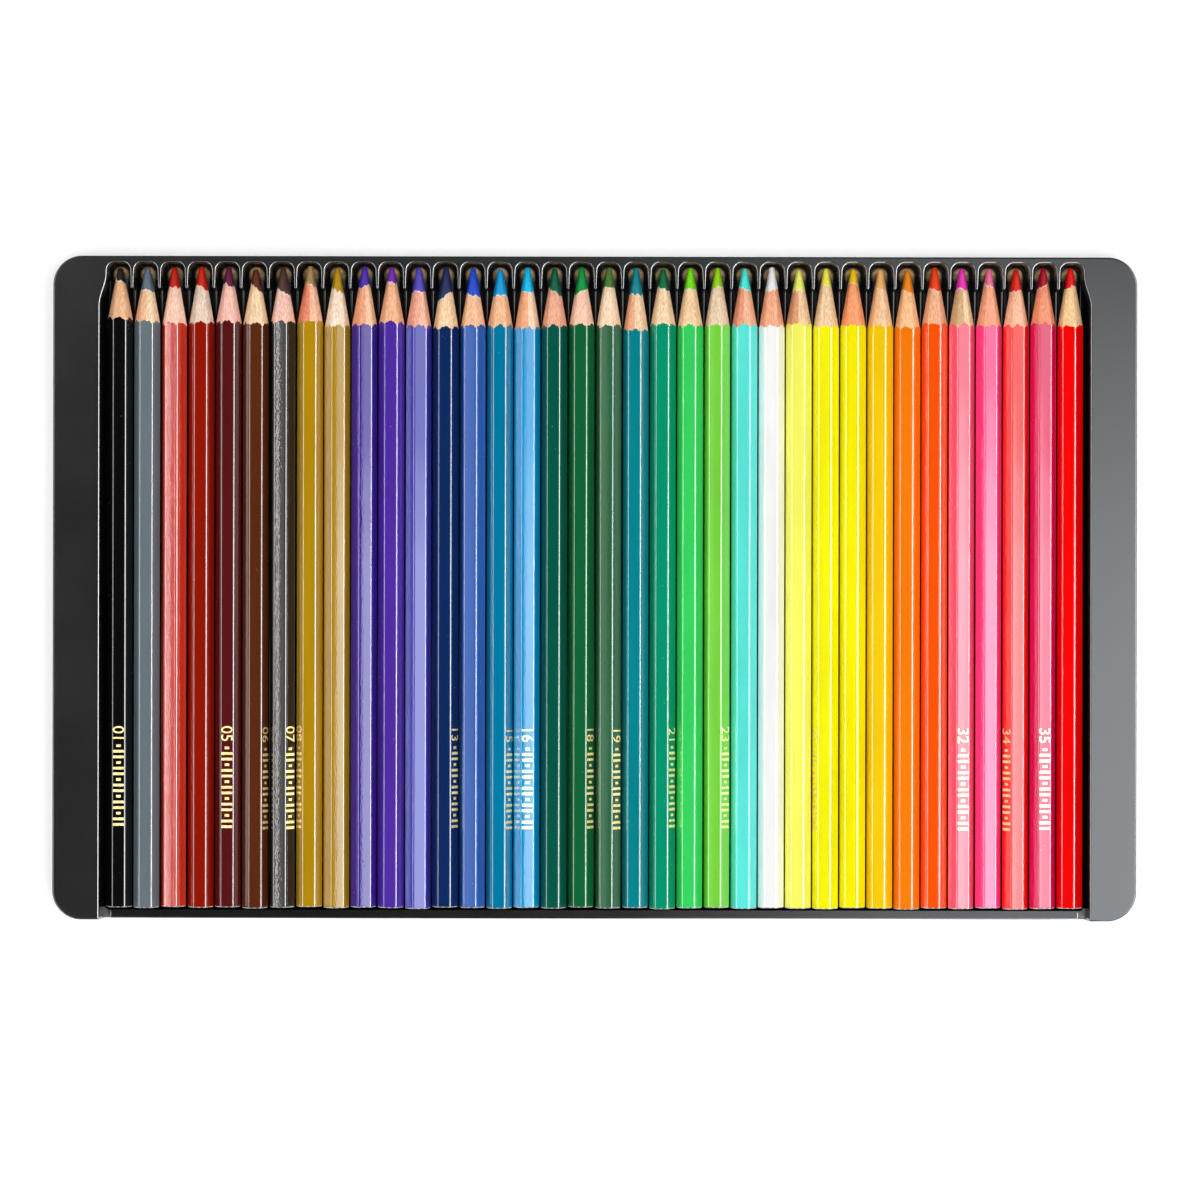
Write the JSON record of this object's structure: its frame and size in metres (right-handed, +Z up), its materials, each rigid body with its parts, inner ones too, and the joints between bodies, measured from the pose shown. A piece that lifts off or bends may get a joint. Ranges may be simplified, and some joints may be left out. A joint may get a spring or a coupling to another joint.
{
  "type": "colored pencil set in tray",
  "caption": "Shallow black thermoformed tray with a row of sharpened hexagonal colored pencils lying side by side in its grooves, points under rounded arches.",
  "frame": {"origin": "centre of the tray's outline, on the plane that the tray rests on", "axes": "+X across the pencils from the black one to the red one, +Y along the pencils towards their points, +Z up"},
  "size_m": [0.298, 0.1826, 0.009],
  "materials": {
    "tray_plastic": "satin black thermoformed plastic",
    "black_lacquer": "gloss lacquer over wood, with a pigmented lead",
    "slate_blue_lacquer": "gloss lacquer over wood, with a pigmented lead",
    "brick_red_lacquer": "gloss lacquer over wood, with a pigmented lead",
    "dark_red_lacquer": "gloss lacquer over wood, with a pigmented lead",
    "maroon_lacquer": "gloss lacquer over wood, with a pigmented lead",
    "dark_brown_lacquer": "gloss lacquer over wood, with a pigmented lead",
    "umber_lacquer": "gloss lacquer over wood, with a pigmented lead",
    "ochre_gold_lacquer": "gloss lacquer over wood, with a pigmented lead",
    "ochre_lacquer": "gloss lacquer over wood, with a pigmented lead",
    "violet_blue_lacquer": "gloss lacquer over wood, with a pigmented lead",
    "purple_lacquer": "gloss lacquer over wood, with a pigmented lead",
    "blue_violet_lacquer": "gloss lacquer over wood, with a pigmented lead",
    "navy_lacquer": "gloss lacquer over wood, with a pigmented lead",
    "cobalt_lacquer": "gloss lacquer over wood, with a pigmented lead",
    "cerulean_lacquer": "gloss lacquer over wood, with a pigmented lead",
    "azure_lacquer": "gloss lacquer over wood, with a pigmented lead",
    "pine_green_lacquer": "gloss lacquer over wood, with a pigmented lead",
    "green_lacquer": "gloss lacquer over wood, with a pigmented lead",
    "olive_green_lacquer": "gloss lacquer over wood, with a pigmented lead",
    "teal_lacquer": "gloss lacquer over wood, with a pigmented lead",
    "emerald_lacquer": "gloss lacquer over wood, with a pigmented lead",
    "bright_green_lacquer": "gloss lacquer over wood, with a pigmented lead",
    "yellow_green_lacquer": "gloss lacquer over wood, with a pigmented lead",
    "turquoise_lacquer": "gloss lacquer over wood, with a pigmented lead",
    "white_lacquer": "gloss lacquer over wood, with a pigmented lead",
    "lemon_lacquer": "gloss lacquer over wood, with a pigmented lead",
    "yellow_lacquer": "gloss lacquer over wood, with a pigmented lead",
    "golden_yellow_lacquer": "gloss lacquer over wood, with a pigmented lead",
    "amber_lacquer": "gloss lacquer over wood, with a pigmented lead",
    "orange_lacquer": "gloss lacquer over wood, with a pigmented lead",
    "red_orange_lacquer": "gloss lacquer over wood, with a pigmented lead",
    "pink_lacquer": "gloss lacquer over wood, with a pigmented lead",
    "hot_pink_lacquer": "gloss lacquer over wood, with a pigmented lead",
    "scarlet_lacquer": "gloss lacquer over wood, with a pigmented lead",
    "crimson_lacquer": "gloss lacquer over wood, with a pigmented lead",
    "red_lacquer": "gloss lacquer over wood, with a pigmented lead"
  },
  "bodies": {
    "tray": {"tray": "tray_plastic"},
    "pencil_01_black": {"pencil_01_black": "black_lacquer"},
    "pencil_02_slate_blue": {"pencil_02_slate_blue": "slate_blue_lacquer"},
    "pencil_03_brick_red": {"pencil_03_brick_red": "brick_red_lacquer"},
    "pencil_04_dark_red": {"pencil_04_dark_red": "dark_red_lacquer"},
    "pencil_05_maroon": {"pencil_05_maroon": "maroon_lacquer"},
    "pencil_06_dark_brown": {"pencil_06_dark_brown": "dark_brown_lacquer"},
    "pencil_07_umber": {"pencil_07_umber": "umber_lacquer"},
    "pencil_08_ochre_gold": {"pencil_08_ochre_gold": "ochre_gold_lacquer"},
    "pencil_09_ochre": {"pencil_09_ochre": "ochre_lacquer"},
    "pencil_10_violet_blue": {"pencil_10_violet_blue": "violet_blue_lacquer"},
    "pencil_11_purple": {"pencil_11_purple": "purple_lacquer"},
    "pencil_12_blue_violet": {"pencil_12_blue_violet": "blue_violet_lacquer"},
    "pencil_13_navy": {"pencil_13_navy": "navy_lacquer"},
    "pencil_14_cobalt": {"pencil_14_cobalt": "cobalt_lacquer"},
    "pencil_15_cerulean": {"pencil_15_cerulean": "cerulean_lacquer"},
    "pencil_16_azure": {"pencil_16_azure": "azure_lacquer"},
    "pencil_17_pine_green": {"pencil_17_pine_green": "pine_green_lacquer"},
    "pencil_18_green": {"pencil_18_green": "green_lacquer"},
    "pencil_19_olive_green": {"pencil_19_olive_green": "olive_green_lacquer"},
    "pencil_20_teal": {"pencil_20_teal": "teal_lacquer"},
    "pencil_21_emerald": {"pencil_21_emerald": "emerald_lacquer"},
    "pencil_22_bright_green": {"pencil_22_bright_green": "bright_green_lacquer"},
    "pencil_23_yellow_green": {"pencil_23_yellow_green": "yellow_green_lacquer"},
    "pencil_24_turquoise": {"pencil_24_turquoise": "turquoise_lacquer"},
    "pencil_25_white": {"pencil_25_white": "white_lacquer"},
    "pencil_26_lemon": {"pencil_26_lemon": "lemon_lacquer"},
    "pencil_27_yellow": {"pencil_27_yellow": "yellow_lacquer"},
    "pencil_28_golden_yellow": {"pencil_28_golden_yellow": "golden_yellow_lacquer"},
    "pencil_29_amber": {"pencil_29_amber": "amber_lacquer"},
    "pencil_30_orange": {"pencil_30_orange": "orange_lacquer"},
    "pencil_31_red_orange": {"pencil_31_red_orange": "red_orange_lacquer"},
    "pencil_32_pink": {"pencil_32_pink": "pink_lacquer"},
    "pencil_33_hot_pink": {"pencil_33_hot_pink": "hot_pink_lacquer"},
    "pencil_34_scarlet": {"pencil_34_scarlet": "scarlet_lacquer"},
    "pencil_35_crimson": {"pencil_35_crimson": "crimson_lacquer"},
    "pencil_36_red": {"pencil_36_red": "red_lacquer"}
  },
  "joints": [
    {"name": "pencil_01_black_lift", "type": "slide", "parent": "tray", "child": "pencil_01_black", "axis": [0, 0, 1], "range_m": [0, 0.03]},
    {"name": "pencil_02_slate_blue_lift", "type": "slide", "parent": "tray", "child": "pencil_02_slate_blue", "axis": [0, 0, 1], "range_m": [0, 0.03]},
    {"name": "pencil_03_brick_red_lift", "type": "slide", "parent": "tray", "child": "pencil_03_brick_red", "axis": [0, 0, 1], "range_m": [0, 0.03]},
    {"name": "pencil_04_dark_red_lift", "type": "slide", "parent": "tray", "child": "pencil_04_dark_red", "axis": [0, 0, 1], "range_m": [0, 0.03]},
    {"name": "pencil_05_maroon_lift", "type": "slide", "parent": "tray", "child": "pencil_05_maroon", "axis": [0, 0, 1], "range_m": [0, 0.03]},
    {"name": "pencil_06_dark_brown_lift", "type": "slide", "parent": "tray", "child": "pencil_06_dark_brown", "axis": [0, 0, 1], "range_m": [0, 0.03]},
    {"name": "pencil_07_umber_lift", "type": "slide", "parent": "tray", "child": "pencil_07_umber", "axis": [0, 0, 1], "range_m": [0, 0.03]},
    {"name": "pencil_08_ochre_gold_lift", "type": "slide", "parent": "tray", "child": "pencil_08_ochre_gold", "axis": [0, 0, 1], "range_m": [0, 0.03]},
    {"name": "pencil_09_ochre_lift", "type": "slide", "parent": "tray", "child": "pencil_09_ochre", "axis": [0, 0, 1], "range_m": [0, 0.03]},
    {"name": "pencil_10_violet_blue_lift", "type": "slide", "parent": "tray", "child": "pencil_10_violet_blue", "axis": [0, 0, 1], "range_m": [0, 0.03]},
    {"name": "pencil_11_purple_lift", "type": "slide", "parent": "tray", "child": "pencil_11_purple", "axis": [0, 0, 1], "range_m": [0, 0.03]},
    {"name": "pencil_12_blue_violet_lift", "type": "slide", "parent": "tray", "child": "pencil_12_blue_violet", "axis": [0, 0, 1], "range_m": [0, 0.03]},
    {"name": "pencil_13_navy_lift", "type": "slide", "parent": "tray", "child": "pencil_13_navy", "axis": [0, 0, 1], "range_m": [0, 0.03]},
    {"name": "pencil_14_cobalt_lift", "type": "slide", "parent": "tray", "child": "pencil_14_cobalt", "axis": [0, 0, 1], "range_m": [0, 0.03]},
    {"name": "pencil_15_cerulean_lift", "type": "slide", "parent": "tray", "child": "pencil_15_cerulean", "axis": [0, 0, 1], "range_m": [0, 0.03]},
    {"name": "pencil_16_azure_lift", "type": "slide", "parent": "tray", "child": "pencil_16_azure", "axis": [0, 0, 1], "range_m": [0, 0.03]},
    {"name": "pencil_17_pine_green_lift", "type": "slide", "parent": "tray", "child": "pencil_17_pine_green", "axis": [0, 0, 1], "range_m": [0, 0.03]},
    {"name": "pencil_18_green_lift", "type": "slide", "parent": "tray", "child": "pencil_18_green", "axis": [0, 0, 1], "range_m": [0, 0.03]},
    {"name": "pencil_19_olive_green_lift", "type": "slide", "parent": "tray", "child": "pencil_19_olive_green", "axis": [0, 0, 1], "range_m": [0, 0.03]},
    {"name": "pencil_20_teal_lift", "type": "slide", "parent": "tray", "child": "pencil_20_teal", "axis": [0, 0, 1], "range_m": [0, 0.03]},
    {"name": "pencil_21_emerald_lift", "type": "slide", "parent": "tray", "child": "pencil_21_emerald", "axis": [0, 0, 1], "range_m": [0, 0.03]},
    {"name": "pencil_22_bright_green_lift", "type": "slide", "parent": "tray", "child": "pencil_22_bright_green", "axis": [0, 0, 1], "range_m": [0, 0.03]},
    {"name": "pencil_23_yellow_green_lift", "type": "slide", "parent": "tray", "child": "pencil_23_yellow_green", "axis": [0, 0, 1], "range_m": [0, 0.03]},
    {"name": "pencil_24_turquoise_lift", "type": "slide", "parent": "tray", "child": "pencil_24_turquoise", "axis": [0, 0, 1], "range_m": [0, 0.03]},
    {"name": "pencil_25_white_lift", "type": "slide", "parent": "tray", "child": "pencil_25_white", "axis": [0, 0, 1], "range_m": [0, 0.03]},
    {"name": "pencil_26_lemon_lift", "type": "slide", "parent": "tray", "child": "pencil_26_lemon", "axis": [0, 0, 1], "range_m": [0, 0.03]},
    {"name": "pencil_27_yellow_lift", "type": "slide", "parent": "tray", "child": "pencil_27_yellow", "axis": [0, 0, 1], "range_m": [0, 0.03]},
    {"name": "pencil_28_golden_yellow_lift", "type": "slide", "parent": "tray", "child": "pencil_28_golden_yellow", "axis": [0, 0, 1], "range_m": [0, 0.03]},
    {"name": "pencil_29_amber_lift", "type": "slide", "parent": "tray", "child": "pencil_29_amber", "axis": [0, 0, 1], "range_m": [0, 0.03]},
    {"name": "pencil_30_orange_lift", "type": "slide", "parent": "tray", "child": "pencil_30_orange", "axis": [0, 0, 1], "range_m": [0, 0.03]},
    {"name": "pencil_31_red_orange_lift", "type": "slide", "parent": "tray", "child": "pencil_31_red_orange", "axis": [0, 0, 1], "range_m": [0, 0.03]},
    {"name": "pencil_32_pink_lift", "type": "slide", "parent": "tray", "child": "pencil_32_pink", "axis": [0, 0, 1], "range_m": [0, 0.03]},
    {"name": "pencil_33_hot_pink_lift", "type": "slide", "parent": "tray", "child": "pencil_33_hot_pink", "axis": [0, 0, 1], "range_m": [0, 0.03]},
    {"name": "pencil_34_scarlet_lift", "type": "slide", "parent": "tray", "child": "pencil_34_scarlet", "axis": [0, 0, 1], "range_m": [0, 0.03]},
    {"name": "pencil_35_crimson_lift", "type": "slide", "parent": "tray", "child": "pencil_35_crimson", "axis": [0, 0, 1], "range_m": [0, 0.03]},
    {"name": "pencil_36_red_lift", "type": "slide", "parent": "tray", "child": "pencil_36_red", "axis": [0, 0, 1], "range_m": [0, 0.03]}
  ]
}
